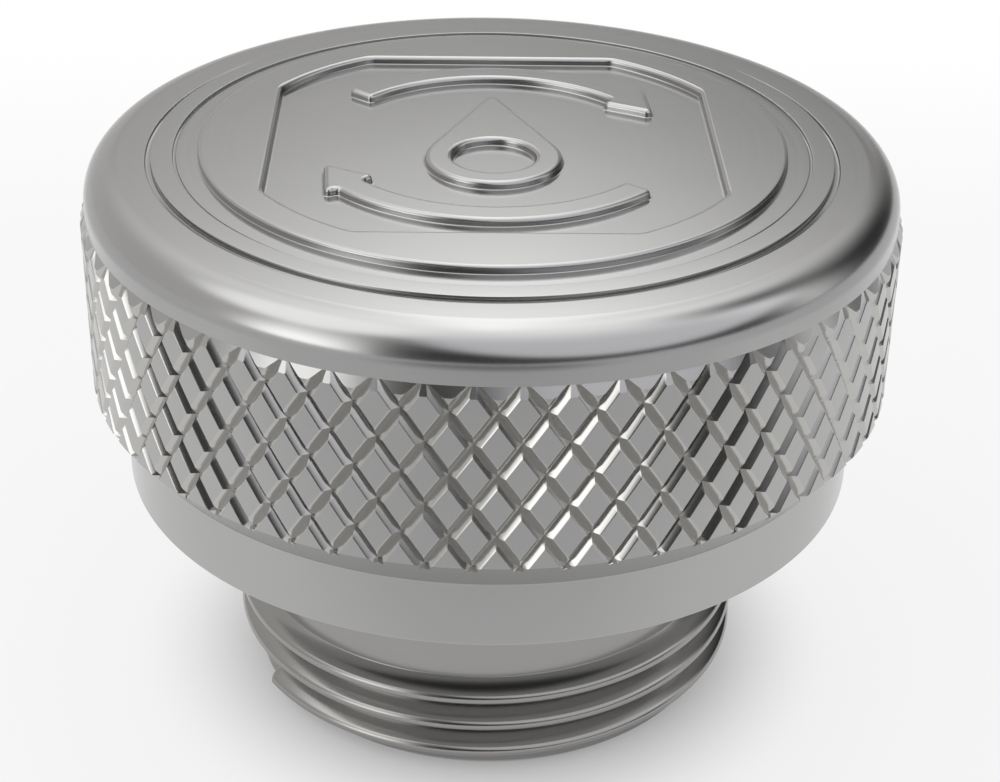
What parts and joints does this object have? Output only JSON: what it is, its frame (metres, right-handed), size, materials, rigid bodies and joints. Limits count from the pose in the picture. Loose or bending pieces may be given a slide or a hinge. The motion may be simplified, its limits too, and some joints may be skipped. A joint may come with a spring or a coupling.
{
  "type": "oil filler cap",
  "caption": "Round screw-in oil filler cap: diamond-knurled grip, stepped top with a sunk relief, plain skirt, hollow threaded stem and a rubber sealing ring.",
  "frame": {"origin": "on the cap's axis at the end of the threaded stem, which is the lowest face", "axes": "+Z along the axis from the stem's end to the top of the cap; -Y faces the picture's view, +X to its right; the oil drop on the disc points to +Y"},
  "size_m": [0.05, 0.05, 0.0361],
  "materials": {
    "metal": "fine-turned satin, bare",
    "rubber": "black, smooth moulded"
  },
  "bodies": {
    "root": {"cap_body": "metal", "seal_ring": "rubber"}
  },
  "joints": []
}
